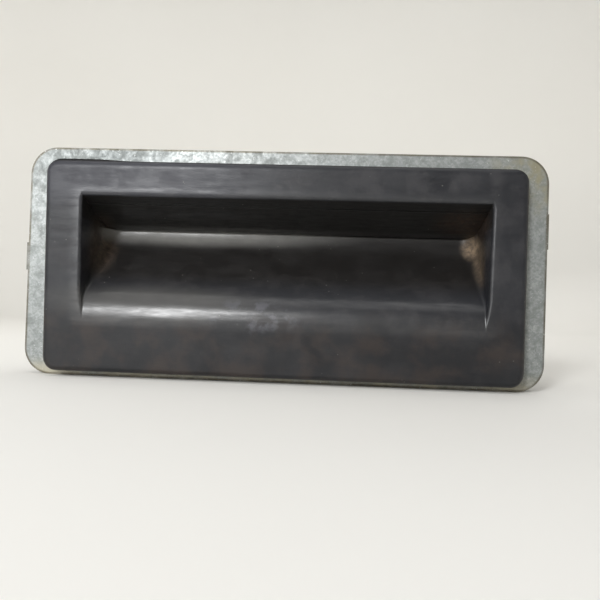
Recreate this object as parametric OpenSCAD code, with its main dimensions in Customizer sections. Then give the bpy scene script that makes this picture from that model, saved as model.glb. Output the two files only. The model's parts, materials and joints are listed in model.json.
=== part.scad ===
// Recessed release handle: a rubber-skinned finger cup on a galvanised carrier plate.
// Pressing the cup's hinged upper wall works a microswitch in the sealed box behind it.
// Frame: X along the width, Y into the door, Z up.
// Origin: centre of the four studs on the plate's rear face.

/* [Carrier plate] */
// Width of the carrier plate
plate_w = 126; // [125:1:132]
// Height of the carrier plate
plate_h = 56; // [55:1:60]
// Thickness of the sheet
plate_t = 1.5; // [1:0.1:2]
// Corner radius of the plate
plate_r = 6.5; // [4:0.5:8]

/* [Studs] */
// Spacing of the weld studs along the width
stud_dx = 114; // [113:0.5:114]
// Spacing of the weld studs along the height
stud_dz = 43; // [40:1:44]
// Stud radius
stud_r = 2.5; // [2:0.1:3]
// Length of the studs behind the plate
stud_len = 16; // [10:1:25]

/* [Bezel] */
// Width of the flat bezel face
face_w = 111; // [109:0.5:112]
// Upper edge of the bezel face
face_top = 22.5; // [22.2:0.1:23]
// Lower edge of the bezel face
face_bottom = -24.9; // [-25.2:0.1:-24.4]
// Rounding between the face and the side walls
edge_r = 1.7; // [1.2:0.1:2.2]
// How far the bezel face stands in front of the plate
bezel_rise = 5; // [4.6:0.1:5.5]

/* [Finger cup] */
// Width of the cup opening
cup_w = 96.8; // [95:0.2:97]
// Height of the cup's upper lip
lip_top = 15.5; // [15:0.1:16]
// Height at which the floor runs into the lower bezel
lip_bottom = -14.2; // [-15:0.1:-13.8]
// Depth of the cup behind the bezel face
cup_depth = 16; // [15:0.5:16.5]
// Height of the deep crease between upper wall and floor
crease_z = 9.3; // [9:0.1:9.6]
// Thickness of the rubber skin inside the cup
skin_t = 1.2; // [1:0.1:1.4]
// Wall thickness of the rigid shell
shell_t = 1.8; // [1.6:0.1:2]

/* [Release flap] */
// Radius of the pivot pin
pin_r = 1.25; // [1:0.05:1.4]
// Radial running clearance on the pin
pin_play = 0.05; // [0.03:0.01:0.09]
// Gap left round the moving flap
flap_gap = 0.4; // [0.3:0.05:0.5]

/* [Rear cover] */
// Depth of the cover behind the plate
cover_depth = 18; // [18:0.5:22]
// Wall thickness of the cover
cover_t = 1.6; // [1.4:0.1:2]

/* [Hidden] */
$fn = 48;
past = 5;
skim = 0.05;

// Levels along Y, from the front to the rear
plate_front = -plate_t;
face_y = plate_front - bezel_rise;
seal_t = 0.6;
bezel_back = plate_front - seal_t;
flange_front = face_y + skin_t;
crease_y = face_y + cup_depth;
gasket_t = 0.8;

// Plate: a low tab on each end (side, lower edge, height, how far out) and the cut-out for the cup
tabs = [[-1, -2.5, 6.8, 0.4], [1, 6, 8.4, 0.2]];
cut_play = 0.3;
cut_x = cup_w / 2 + skin_t + shell_t + cut_play;
cut_top = 22.2;
cut_bottom = -12.4;
cut_r = 1.2;
foam_t = 2.5;
foam_inset = 0.5;
foam_w = 1.7;
stud_bevel = 0.6;

// Bezel outline where it meets the plate
base_half = face_w / 2 + edge_r;
base_top = face_top + edge_r;
base_bottom = face_bottom - edge_r;
face_r = 1.6;
seal_inset = 0.7;

// Cup profile: back tilt at the crease, ramp angle, roll-over radius, corner radius in plan
back_tilt = 6;
ramp_tilt = 44;
roll_r = 10;
corner_r = 4.5;
cup_side = cup_w / 2;
run_y = cup_depth - roll_r * (1 - cos(ramp_tilt));
run_z = crease_z - lip_bottom - roll_r * sin(ramp_tilt);
turn_y = cos(back_tilt) - cos(ramp_tilt);
turn_z = sin(ramp_tilt) - sin(back_tilt);
ramp_run = run_y * cos(ramp_tilt) - run_z * sin(ramp_tilt);
ramp_turn = turn_y * cos(ramp_tilt) - turn_z * sin(ramp_tilt);
scoop_r = ramp_run / ramp_turn;
scoop = [crease_y - scoop_r * cos(back_tilt), crease_z + scoop_r * sin(back_tilt)];
roll = [face_y + roll_r, lip_bottom];

// Upper wall: a straight line from the lip down to the crease
lip_r = 1;
lip_drop = 0.1;
wall_start = [face_y + lip_r, lip_top - lip_drop];
wall_fall = (wall_start[1] - crease_z) / (crease_y - wall_start[0]);
wall_angle = atan(wall_fall);
skin_rise = 2.4;

// Flap and its pivot
pad_t = 1.2;
flap_t = 2;
flap_front = bezel_back + flap_gap;
flap_past = 0.2;
pad_rear = crease_y + skin_t + flap_past;
flap_rear = crease_y + skin_t + shell_t + flap_past;
flap_side = cup_side - 0.5;
pivot = [1, 17.4];
knuckle_r = 2.6;
knuckles = [[42.8, 10], [12, 8]];
pin_half = cup_side + 2.8;
press_play = 0.02;
cheek_top = 20.6;
bumper_x = 30;
bumper_w = 6;
bumper_deep = 1.4;
bumper_gap = 0.15;

// Springs that push the flap down
spring_at = [34, 8];
spring_foot = 14.4;
spring_wire = 0.3;
spring_coil = 2.2;
spring_turns = 6;
seat_r = 3;
stub_r = 1.7;
stub_h = 1.1;
stub_sink = 0.4;

// Rear cover
cover_side = cut_x + cover_t;
cover_in_top = 23;
cover_in_bottom = cut_bottom - 0.6;
cover_r = 4;
cover_step = 5;
cover_knee = 1;
rear_in = cover_depth - cover_t;
post_r = 2;
post_at = [[26, 19.9], [36, 6.4]];
post_gap = 0.1;
tap_past = 0.4;
tap_r = 1.2;
screw_r = 1.15;
screw_len = 6;
head_r = 2.4;
head_t = 1.6;
rivet_x = [-45, -15, 15, 45];
rivet_z = -20;
rivet_r = 1.6;
rivet_head_r = 3;
rivet_crown_r = 1.9;
rivet_rim_t = 0.5;
rivet_crown_t = 0.6;

// Microswitch: centre, width along Y, length along X, levels along Z
sw_x = -14;
sw_y = 10.4;
sw_w = 5.8;
sw_l = 12.8;
sw_bottom = 16.2;
sw_split = 19;
sw_top = 21.8;
sw_wall = 0.7;
sw_roof = 1.2;
sw_hole_dx = 3.25;
sw_hole_z = 20.4;
sw_hole_r = 1;
sw_screw_r = 0.95;
sw_screw_len = 8;
sw_head_r = 1.7;
sw_head_t = 1.1;
sw_post_r = 1.9;
sw_post_floor = 0.6;
ear_t = 0.9;
ear_w = 2.2;
ear_drop = 0.9;
lever_at = [sw_x - 5.2, 15.4];
lever_rest = 8;
lever_len = 12.6;
lever_w = 3.6;
lever_t = 0.3;
lever_pin_r = 0.35;
lever_eye_r = 0.7;
plunger_x = lever_at[0] + 3.4;
plunger_r = 0.75;
plunger_tip = 15.62;
plunger_tip_r = 0.35;
plunger_taper = 0.4;
plunger_len = 2.3;
plunger_cap_r = 1.3;
plunger_cap_t = 0.5;
lever_sink = 0.1;
pusher_x = lever_at[0] + 11;
pusher_top = 13.9;
pusher = [2, 1.6];
blade = [1.2, 0.4];
blade_dx = 5;
blade_top = 22.5;
blade_rear = 15.4;

// Connector on the cover's rear face: inlet only, with two pins
con_x = 8;
con_z = 12;
con_flange = [20, 14];
con_outer = [13.4, 9];
con_inner = [11.4, 6.8];
con_seat = cover_depth + gasket_t;
con_plate_t = 1.6;
con_boss = [9, 3];
con_boss_play = 0.2;
con_seal_play = 0.6;
con_base_t = 3.2;
con_len = 12.6;
con_floor = con_seat + con_base_t;
con_rear = con_seat + con_len;
latch = [4, 3, 1.3];
latch_inset = 5;
con_pin_dx = 2.5;
con_pin = 0.8;
con_pin_out = 4.8;
con_pin_rear = con_floor + con_pin_out;
con_pin_front = 14.2;
con_screw = [8.4, 5.4];
con_head_r = 1.5;
con_head_t = 1;
con_screw_past = 0.6;
lead_r = 0.55;
lead_y = 15;

// ---- Functions ----

// Height of the upper wall at depth y, moved up square to itself by up
function wall_z(y, up = 0) = wall_start[1] - (y - wall_start[0]) * wall_fall + up / cos(wall_angle);

// Points of an arc of radius r about c, from angle a0 to a1
function arc(c, r, a0, a1, steps) = [
    for (i = [0 : steps]) c + r * [cos(a0 + (a1 - a0) * i / steps), sin(a0 + (a1 - a0) * i / steps)]
];

// Floor of the cup in the YZ plane, moved deeper by d, from the crease down to the lower lip
function floor_line(d) = concat(
    arc(scoop, scoop_r + d, -back_tilt, -ramp_tilt, 14),
    arc(roll, roll_r - d, 180 - ramp_tilt, 180, 9)
);

// One point of a smooth curve through the points p, at t between point i and the next
function smooth_point(p, i, t) =
    let (n = len(p) - 1, a = p[max(i - 1, 0)], b = p[i], c = p[min(i + 1, n)], d = p[min(i + 2, n)])
    0.5 * (2 * b + (c - a) * t + (2 * a - 5 * b + 4 * c - d) * t * t + (3 * b - a - 3 * c + d) * t * t * t);
function smooth_path(p, cuts) = concat(
    [for (i = [0 : len(p) - 2]) for (k = [0 : cuts - 1]) smooth_point(p, i, k / cuts)],
    [p[len(p) - 1]]
);
function unit(v) = v / norm(v);

// Where a cover post at height z starts
function post_front(z) = z > crease_z ? bezel_back : crease_y + skin_t + post_gap;
function ring_point(s, a) = cos(a) * s + sin(a) * [0, 1, 0];

// ---- Shared shapes ----

// Rounded rectangle
module rounded_box(half_x, bottom, top, r) {
    translate([-half_x + r, bottom]) square([2 * (half_x - r), top - bottom]);
    translate([-half_x, bottom + r]) square([2 * half_x, top - bottom - 2 * r]);
    for (x = [-1, 1], z = [bottom + r, top - r])
        translate([x * (half_x - r), z]) circle(r);
}

// Upright outline between two levels along Y
module along_y(y0, y1) {
    translate([0, y1, 0]) rotate([90, 0, 0]) linear_extrude(y1 - y0) children();
}

// Side profile in the YZ plane, drawn out along X
module along_x(x0, x1) {
    translate([x0, 0, 0]) rotate([90, 0, 90]) linear_extrude(x1 - x0) children();
}

module slab(half_x, bottom, top, r, y0, y1) {
    along_y(y0, y1) rounded_box(half_x, bottom, top, r);
}

// Round bar along Y or X
module rod_y(x, z, r, y0, y1) {
    translate([x, y1, z]) rotate([90, 0, 0]) cylinder(h = y1 - y0, r = r);
}
module rod_x(y, z, r, x0, x1) {
    translate([x0, y, z]) rotate([0, 90, 0]) cylinder(h = x1 - x0, r = r);
}

// Plan outline of the cup, moved outwards by d, as a tall block
module cup_plan(d) {
    side = cup_side - corner_r;
    back = crease_y - corner_r;
    translate([0, 0, base_bottom]) linear_extrude(base_top - base_bottom) polygon(concat(
        [[-cup_side - d, face_y - past], [cup_side + d, face_y - past]],
        arc([side, back], corner_r + d, 0, 90, 12),
        arc([-side, back], corner_r + d, 90, 180, 12)
    ));
}

// The finger space itself
module cup_space() {
    lip = [face_y + lip_r, wall_z(face_y + lip_r, lip_r)];
    intersection() {
        along_x(-cup_side, cup_side) polygon(concat(
            floor_line(0),
            [[face_y - past, lip_bottom], [face_y - past, lip[1]]],
            arc(lip, lip_r, 180, 270 - wall_angle, 6)
        ));
        cup_plan(0);
    }
}

// Solid block round the cup, d outside its floor and sides, up to a sloping or level top
module cup_block(d, top_front, top_rear) {
    intersection() {
        along_x(-cup_side - d, cup_side + d) polygon(concat(
            [[crease_y + d, top_rear]],
            floor_line(d),
            [[face_y + d, top_front]]
        ));
        cup_plan(d);
    }
}

// Everything above the upper wall, where the flap moves
module flap_window() {
    along_x(-cup_side, cup_side) polygon([
        [bezel_back, wall_z(bezel_back, -flap_gap)],
        [cover_depth, wall_z(cover_depth, -flap_gap)],
        [cover_depth, base_top + past],
        [bezel_back, base_top + past]
    ]);
}

// Layer that follows the upper wall between two heights above it
module wall_layer(half_x, y0, y1, low, high) {
    along_x(-half_x, half_x) polygon([
        [y0, wall_z(y0, low)], [y1, wall_z(y1, low)], [y1, wall_z(y1, high)], [y0, wall_z(y0, high)]
    ]);
}

// Pan-head screw along Y: seat is the level under its head, dir is +1 when the head faces +Y
module pan_screw(x, z, seat, len, r, head, head_h, dir) {
    translate([x, seat, z]) rotate([-90 * dir, 0, 0]) difference() {
        union() {
            translate([0, 0, -len]) cylinder(h = len + skim, r = r);
            cylinder(h = head_h * 0.6, r = head);
            translate([0, 0, head_h * 0.6]) cylinder(h = head_h * 0.4, r1 = head, r2 = head * 0.7);
        }
        for (a = [0, 90])
            rotate(a) translate([-head * 0.5, -head * 0.1, head_h * 0.45]) cube([head, head * 0.2, head_h]);
    }
}

// Closed tube of radius r along points in one XZ plane that run downwards, with level ends
module flat_tube(path, r) {
    n = len(path);
    sides = 8;
    rings = [for (i = [0 : n - 1]) let (
            last = i == 0 || i == n - 1,
            t = last ? [0, 0, -1] : unit(path[i + 1] - path[i - 1]),
            s = [t[2], 0, -t[0]]
        ) for (k = [0 : sides - 1]) path[i] + r * ring_point(s, 360 * k / sides)];
    faces = concat(
        [[for (k = [sides - 1 : -1 : 0]) k]],
        [for (i = [0 : n - 2]) for (k = [0 : sides - 1])
            let (a = i * sides, b = a + sides, m = (k + 1) % sides) [a + k, a + m, b + m, b + k]],
        [[for (k = [0 : sides - 1]) (n - 1) * sides + k]]
    );
    polyhedron(rings, faces, convexity = 6);
}

// Compression spring standing along Z
module coil(x, y, z0, z1, radius, r, turns) {
    per_turn = 14;
    sides = 8;
    n = turns * per_turn;
    rise = (z1 - z0 - 2 * r) / n;
    rings = [for (i = [0 : n]) for (k = [0 : sides - 1]) let (
            a = 360 * i / per_turn,
            q = 360 * k / sides,
            out = radius + r * cos(q)
        ) [x + out * cos(a), y + out * sin(a), z0 + r + rise * i + r * sin(q)]];
    faces = concat(
        [[for (k = [0 : sides - 1]) k]],
        [for (i = [0 : n - 1]) for (k = [0 : sides - 1])
            let (a = i * sides, b = a + sides, m = (k + 1) % sides) [a + m, a + k, b + k, b + m]],
        [[for (k = [sides - 1 : -1 : 0]) n * sides + k]]
    );
    polyhedron(rings, faces, convexity = 10);
}

// ---- Carrier plate and what is fixed to it ----

module carrier_plate() {
    color([0.72, 0.73, 0.71]) difference() {
        union() {
            slab(plate_w / 2, -plate_h / 2, plate_h / 2, plate_r, plate_front, 0);
            for (t = tabs)
                translate([min(0, t[0] * (plate_w / 2 + t[3])), plate_front, t[1]])
                    cube([plate_w / 2 + t[3], plate_t, t[2]]);
        }
        slab(cut_x, cut_bottom, cut_top, cut_r, plate_front - past, past);
        for (x = rivet_x)
            rod_y(x, rivet_z, rivet_r + skim, plate_front - past, past);
    }
}

module weld_studs() {
    color([0.78, 0.77, 0.72])
        for (x = [-1, 1], z = [-1, 1])
            translate([x * stud_dx / 2, 0, z * stud_dz / 2]) rotate([-90, 0, 0]) {
                cylinder(h = stud_len - stud_bevel, r = stud_r);
                translate([0, 0, stud_len - stud_bevel])
                    cylinder(h = stud_bevel, r1 = stud_r, r2 = stud_r - stud_bevel);
            }
}

module plate_gasket() {
    out_x = plate_w / 2 - foam_inset;
    out_z = plate_h / 2 - foam_inset;
    color([0.2, 0.2, 0.21]) difference() {
        slab(out_x, -out_z, out_z, plate_r - foam_inset, 0, foam_t);
        slab(out_x - foam_w, foam_w - out_z, out_z - foam_w, plate_r - foam_inset - foam_w,
            -past, foam_t + past);
    }
}

module bezel_seal() {
    color([0.07, 0.07, 0.07]) difference() {
        slab(base_half - seal_inset, base_bottom + seal_inset, base_top - seal_inset,
            face_r + edge_r - seal_inset, bezel_back, plate_front);
        slab(cut_x, cut_bottom, cut_top, cut_r, bezel_back - past, past);
        for (x = rivet_x)
            rod_y(x, rivet_z, rivet_r + skim, bezel_back - past, past);
    }
}

// ---- Cup: soft skin over a rigid shell ----

// Bezel outline moved out by out, from front to the bezel's back
module bezel_step(out, front) {
    slab(face_w / 2 + out, face_bottom - out, face_top + out, face_r + out, front, bezel_back);
}

// Bezel slab whose front edge is rounded by edge_r in a few steps
module bezel_body() {
    hull($fn = 32)
        for (turn = [0 : 22.5 : 90])
            bezel_step(edge_r * cos(turn), face_y + edge_r * (1 - sin(turn)));
}

module flange_space(y1) {
    slab(face_w / 2 - skin_t, face_bottom + skin_t, face_top - skin_t, face_r, flange_front, y1);
}

module skin_block() {
    cup_block(skin_t, wall_z(face_y + skin_t, skin_rise), wall_z(crease_y + skin_t, skin_rise));
}

module rubber_skin() {
    color([0.1, 0.1, 0.1]) difference() {
        union() {
            difference() {
                bezel_body();
                flange_space(bezel_back + past);
            }
            skin_block();
        }
        cup_space();
        flap_window();
    }
}

module cup_shell() {
    color([0.16, 0.16, 0.17]) difference() {
        union() {
            difference() {
                union() {
                    flange_space(bezel_back);
                    cup_block(skin_t + shell_t, cheek_top, cheek_top);
                }
                skin_block();
                flap_window();
            }
            for (p = post_at, x = [-1, 1])
                rod_y(x * p[0], p[1], post_r, post_front(p[1]), rear_in);
        }
        for (p = post_at, x = [-1, 1])
            rod_y(x * p[0], p[1], tap_r, cover_depth - screw_len - tap_past, cover_depth);
        rod_x(pivot[0], pivot[1], pin_r + press_play, -cup_w, cup_w);
        for (x = rivet_x)
            rod_y(x, rivet_z, rivet_r + skim, flange_front - past, past);
    }
}

module shell_rivets() {
    color([0.75, 0.75, 0.76])
        for (x = rivet_x) {
            rod_y(x, rivet_z, rivet_r, flange_front, skim);
            rod_y(x, rivet_z, rivet_head_r, 0, rivet_rim_t);
            translate([x, rivet_rim_t, rivet_z]) rotate([-90, 0, 0])
                cylinder(h = rivet_crown_t, r1 = rivet_head_r, r2 = rivet_crown_r);
        }
}

// ---- Release flap ----

module release_flap() {
    root = pad_t + flap_t / 2;
    color([0.2, 0.2, 0.21]) difference() {
        union() {
            wall_layer(flap_side, flap_front, flap_rear, pad_t, pad_t + flap_t);
            for (k = knuckles, x = [-1, 1])
                rod_x(pivot[0], pivot[1], knuckle_r, x * k[0] - k[1] / 2, x * k[0] + k[1] / 2);
            for (x = [-1, 1])
                translate([x * spring_at[0], spring_at[1], 0]) {
                    intersection() {
                        cylinder(h = spring_foot, r = seat_r);
                        translate([0, -spring_at[1], 0])
                            wall_layer(seat_r + past, flap_front, flap_rear, root, root + past);
                    }
                    translate([0, 0, spring_foot - stub_sink]) cylinder(h = stub_h + stub_sink, r = stub_r);
                }
            translate([pusher_x - pusher[0] / 2, sw_y - pusher[1] / 2, wall_z(sw_y, root)])
                cube([pusher[0], pusher[1], pusher_top - wall_z(sw_y, root)]);
        }
        rod_x(pivot[0], pivot[1], pin_r + pin_play, -cup_w, cup_w);
    }
}

module flap_pad() {
    color([0.09, 0.09, 0.09]) wall_layer(flap_side, flap_front, pad_rear, 0, pad_t);
}

module flap_pivot_pin() {
    color([0.7, 0.71, 0.72]) rod_x(pivot[0], pivot[1], pin_r, -pin_half, pin_half);
}

module flap_springs() {
    color([0.62, 0.63, 0.65])
        for (x = [-1, 1])
            coil(x * spring_at[0], spring_at[1], spring_foot + skim, cover_in_top - skim, spring_coil,
                spring_wire, spring_turns);
}

module flap_bumpers() {
    front = pad_rear + bumper_gap;
    color([0.12, 0.12, 0.12])
        for (x = [-1, 1])
            translate([x * bumper_x, 0, 0])
                wall_layer(bumper_w / 2, front, front + bumper_deep, skim - flap_gap, pad_t);
}

// ---- Microswitch ----

module switch_case() {
    inside = [sw_l - 2 * sw_wall, sw_w - 2 * sw_wall];
    ear = [ear_w, ear_t, sw_bottom - lever_at[1] + ear_drop + skim];
    color([0.13, 0.13, 0.14]) difference() {
        union() {
            translate([sw_x - sw_l / 2, sw_y - sw_w / 2, sw_bottom]) cube([sw_l, sw_w, sw_split - sw_bottom]);
            for (y = [sw_y - sw_w / 2, sw_y + sw_w / 2 - ear_t])
                translate([lever_at[0] - ear_w / 2, y, lever_at[1] - ear_drop]) cube(ear);
        }
        translate([sw_x - inside[0] / 2, sw_y - inside[1] / 2, sw_bottom + sw_roof])
            cube([inside[0], inside[1], sw_split]);
        translate([plunger_x, sw_y, sw_bottom - skim])
            cylinder(h = sw_roof + 2 * skim, r = plunger_r + pin_play);
        translate([lever_at[0], sw_y + sw_w, lever_at[1]]) rotate([90, 0, 0])
            cylinder(h = 2 * sw_w, r = lever_pin_r + press_play);
    }
}

module switch_base() {
    color([0.5, 0.12, 0.1]) difference() {
        translate([sw_x - sw_l / 2, sw_y - sw_w / 2, sw_split]) cube([sw_l, sw_w, sw_top - sw_split]);
        for (x = [-1, 1])
            rod_y(sw_x + x * sw_hole_dx, sw_hole_z, sw_hole_r, 0, rear_in);
        for (x = [-1, 0, 1])
            translate([sw_x + x * blade_dx - blade[0] / 2, sw_y - blade[1] / 2, sw_split + 1])
                cube([blade[0], blade[1], sw_top]);
    }
}

module switch_plunger() {
    color([0.75, 0.2, 0.15]) translate([plunger_x, sw_y, 0]) {
        translate([0, 0, plunger_tip]) cylinder(h = plunger_taper, r1 = plunger_tip_r, r2 = plunger_r);
        translate([0, 0, plunger_tip + plunger_taper]) cylinder(h = plunger_len, r = plunger_r);
        translate([0, 0, sw_bottom + sw_roof + skim]) cylinder(h = plunger_cap_t, r = plunger_cap_r);
    }
}

module switch_lever() {
    color([0.8, 0.8, 0.8]) difference() {
        union() {
            translate([lever_at[0], sw_y + lever_w / 2, lever_at[1]]) rotate([90, 0, 0])
                cylinder(h = lever_w, r = lever_eye_r);
            translate([lever_at[0], sw_y, lever_at[1]]) rotate([0, lever_rest, 0])
                translate([0, -lever_w / 2, lever_eye_r - lever_sink - lever_t])
                    cube([lever_len, lever_w, lever_t]);
        }
        translate([lever_at[0], sw_y + lever_w, lever_at[1]]) rotate([90, 0, 0])
            cylinder(h = 2 * lever_w, r = lever_pin_r + pin_play);
    }
}

module lever_pin() {
    color([0.7, 0.7, 0.7]) translate([lever_at[0], sw_y + sw_w / 2, lever_at[1]]) rotate([90, 0, 0])
        cylinder(h = sw_w, r = lever_pin_r);
}

module switch_terminals() {
    color([0.85, 0.7, 0.35])
        for (x = [-1, 0, 1])
            translate([sw_x + x * blade_dx - blade[0] / 2, sw_y - blade[1] / 2, 0]) {
                translate([0, 0, sw_split + 1]) cube([blade[0], blade[1], blade_top - sw_split - 1]);
                translate([0, 0, blade_top - blade[1]])
                    cube([blade[0], blade_rear - sw_y + blade[1] / 2, blade[1]]);
            }
}

module switch_screws() {
    color([0.76, 0.76, 0.76])
        for (x = [-1, 1])
            pan_screw(sw_x + x * sw_hole_dx, sw_hole_z, sw_y - sw_w / 2, sw_screw_len,
                sw_screw_r, sw_head_r, sw_head_t, -1);
}

// Two leads from the switch down to the connector, each in one plane behind the flap
module switch_leads() {
    low = con_z + con_pin / 2;
    high = blade_top - blade[1];
    left = [[sw_x, lead_y, high], [sw_x, lead_y, 19.5], [sw_x + 1.5, lead_y, 16.5], [sw_x + 7, lead_y, 14.6],
        [sw_x + 14, lead_y, 14.2], [con_x - con_pin_dx - 1, lead_y, 13.8], [con_x - con_pin_dx, lead_y, low]];
    right = [[sw_x + 5.35, lead_y, high], [sw_x + 5.35, lead_y, high - 0.4], [sw_x + 5.7, lead_y, 21.1],
        [sw_x + 6.9, lead_y, 19.8], [sw_x + 8.2, lead_y, 18.3], [sw_x + 13, lead_y, 17],
        [con_x, lead_y, 16.4], [con_x + con_pin_dx - 0.2, lead_y, 14.8], [con_x + con_pin_dx, lead_y, low]];
    color([0.6, 0.1, 0.08]) {
        flat_tube(smooth_path(left, 5), lead_r);
        flat_tube(smooth_path(right, 5), lead_r);
    }
}

// ---- Connector ----

module box_y(size, y0, y1) {
    translate([con_x - size[0] / 2, y0, con_z - size[1] / 2]) cube([size[0], y1 - y0, size[1]]);
}

module connector_socket() {
    color([0.12, 0.12, 0.13]) difference() {
        union() {
            box_y(con_flange, con_seat, con_seat + con_plate_t);
            box_y(con_outer, con_seat, con_rear);
            box_y(con_boss, rear_in, con_seat + skim);
            translate([con_x - latch[0] / 2, con_rear - latch_inset, con_z + con_outer[1] / 2 - skim])
                cube(latch);
        }
        box_y(con_inner, con_floor, con_rear + past);
        for (x = [-1, 1]) {
            translate([con_x + x * con_pin_dx - con_pin / 2, 0, con_z - con_pin / 2])
                cube([con_pin, con_rear, con_pin]);
            rod_y(con_x + x * con_screw[0], con_z - x * con_screw[1], sw_hole_r, 0, con_rear);
        }
    }
}

module connector_pins() {
    color([0.8, 0.72, 0.5])
        for (x = [-1, 1])
            translate([con_x + x * con_pin_dx - con_pin / 2, con_pin_front, con_z - con_pin / 2])
                cube([con_pin, con_pin_rear - con_pin_front, con_pin]);
}

module connector_seal() {
    color([0.55, 0.2, 0.12]) difference() {
        box_y(con_flange - [0.6, 0.6], cover_depth, con_seat);
        box_y(con_boss + [con_seal_play, con_seal_play], 0, con_rear);
        for (x = [-1, 1])
            rod_y(con_x + x * con_screw[0], con_z - x * con_screw[1], sw_hole_r, 0, con_rear);
    }
}

module connector_screws() {
    seat = con_seat + con_plate_t;
    color([0.76, 0.76, 0.76])
        for (x = [-1, 1])
            pan_screw(con_x + x * con_screw[0], con_z - x * con_screw[1], seat,
                seat - rear_in + con_screw_past, sw_screw_r, con_head_r, con_head_t, 1);
}

// ---- Rear cover ----

module cover_hull(inset, y0) {
    deep = cover_depth - inset;
    bottom = cover_in_bottom - cover_t + inset;
    top = cover_in_top + cover_t - inset;
    intersection() {
        slab(cover_side - inset, bottom, top, cover_r - inset, y0, deep);
        along_x(-cover_side, cover_side) polygon([
            [y0, bottom], [cover_step, bottom], [deep, cover_knee], [deep, top], [y0, top]
        ]);
    }
}

module rear_cover() {
    color([0.15, 0.15, 0.16]) difference() {
        union() {
            difference() {
                cover_hull(0, gasket_t);
                cover_hull(cover_t, gasket_t - skim);
            }
            for (x = [-1, 1]) {
                rod_y(sw_x + x * sw_hole_dx, sw_hole_z, sw_post_r, sw_y + sw_w / 2, rear_in + skim);
                translate([x * spring_at[0], spring_at[1], cover_in_top - stub_h])
                    cylinder(h = stub_h + skim, r = stub_r);
            }
        }
        for (p = post_at, x = [-1, 1])
            rod_y(x * p[0], p[1], tap_r, rear_in - skim, cover_depth + past);
        for (x = [-1, 1]) {
            rod_y(sw_x + x * sw_hole_dx, sw_hole_z, sw_hole_r, 0, rear_in - sw_post_floor);
            rod_y(con_x + x * con_screw[0], con_z - x * con_screw[1], sw_hole_r,
                rear_in - past, cover_depth + past);
        }
        box_y(con_boss + [con_boss_play, con_boss_play], rear_in - past, cover_depth + past);
    }
}

module cover_gasket() {
    color([0.1, 0.1, 0.1]) difference() {
        slab(cover_side, cover_in_bottom - cover_t, cover_in_top + cover_t, cover_r, 0, gasket_t);
        slab(cover_side - cover_t, cover_in_bottom, cover_in_top, cover_r - cover_t, -past, gasket_t + past);
    }
}

module cover_screws() {
    color([0.76, 0.76, 0.77])
        for (p = post_at, x = [-1, 1])
            pan_screw(x * p[0], p[1], cover_depth, screw_len, screw_r, head_r, head_t, 1);
}

carrier_plate();
weld_studs();
plate_gasket();
bezel_seal();
rubber_skin();
cup_shell();
shell_rivets();
release_flap();
flap_pad();
flap_pivot_pin();
flap_springs();
flap_bumpers();
switch_case();
switch_base();
switch_plunger();
switch_lever();
lever_pin();
switch_terminals();
switch_screws();
switch_leads();
connector_socket();
connector_pins();
connector_seal();
connector_screws();
rear_cover();
cover_gasket();
cover_screws();
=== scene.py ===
import math

import bmesh
import bpy
import numpy as np
from mathutils import Matrix, Vector
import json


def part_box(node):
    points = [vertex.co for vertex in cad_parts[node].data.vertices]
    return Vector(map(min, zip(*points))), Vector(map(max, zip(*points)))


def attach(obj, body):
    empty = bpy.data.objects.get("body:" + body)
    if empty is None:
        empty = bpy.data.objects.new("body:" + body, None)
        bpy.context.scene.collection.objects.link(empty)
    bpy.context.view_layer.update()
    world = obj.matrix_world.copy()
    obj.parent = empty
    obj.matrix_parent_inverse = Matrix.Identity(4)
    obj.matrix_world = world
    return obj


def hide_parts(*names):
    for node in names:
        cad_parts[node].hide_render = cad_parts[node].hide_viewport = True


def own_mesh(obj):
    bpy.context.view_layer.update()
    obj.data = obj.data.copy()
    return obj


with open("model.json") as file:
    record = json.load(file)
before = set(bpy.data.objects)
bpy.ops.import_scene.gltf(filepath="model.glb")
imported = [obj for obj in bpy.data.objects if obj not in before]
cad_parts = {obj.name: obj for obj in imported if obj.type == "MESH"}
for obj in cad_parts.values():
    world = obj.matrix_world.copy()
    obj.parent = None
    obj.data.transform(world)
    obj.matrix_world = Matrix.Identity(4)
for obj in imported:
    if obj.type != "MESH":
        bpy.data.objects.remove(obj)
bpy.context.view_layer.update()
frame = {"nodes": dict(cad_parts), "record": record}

MM = 0.001

# ---- Sizes in metres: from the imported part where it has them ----
skin_lo, skin_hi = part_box("rubber_skin")
plate_lo, plate_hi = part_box("carrier_plate")
seal_lo, seal_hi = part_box("bezel_seal")
pad_lo, pad_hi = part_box("flap_pad")
stud_lo, stud_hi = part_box("weld_studs")
foam_lo, foam_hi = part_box("plate_gasket")

FACE_Y = skin_lo.y
BEZEL_BACK = seal_lo.y
BEZEL_CORNER = 3.3 * MM
ROUND_SIDE = 1.5 * MM
ROUND_TOP = 1.9 * MM
ROUND_BOTTOM = 1.1 * MM
SKIN_THICK = 0.6 * MM

CUP_DEPTH = 16 * MM
CREASE_Y = FACE_Y + CUP_DEPTH
CREASE_Z = 9.3 * MM
LIP_LOW = -14.2 * MM
BACK_TILT = math.radians(6)
RAMP_TILT = math.radians(44)
ROLL_R = 10 * MM
LIP_R = 1 * MM
WALL_START_Y = FACE_Y + LIP_R
WALL_START_Z = 15.4 * MM
WALL_FALL = (WALL_START_Z - CREASE_Z) / (CREASE_Y - WALL_START_Y)
WALL_ANGLE = math.atan(WALL_FALL)

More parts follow.
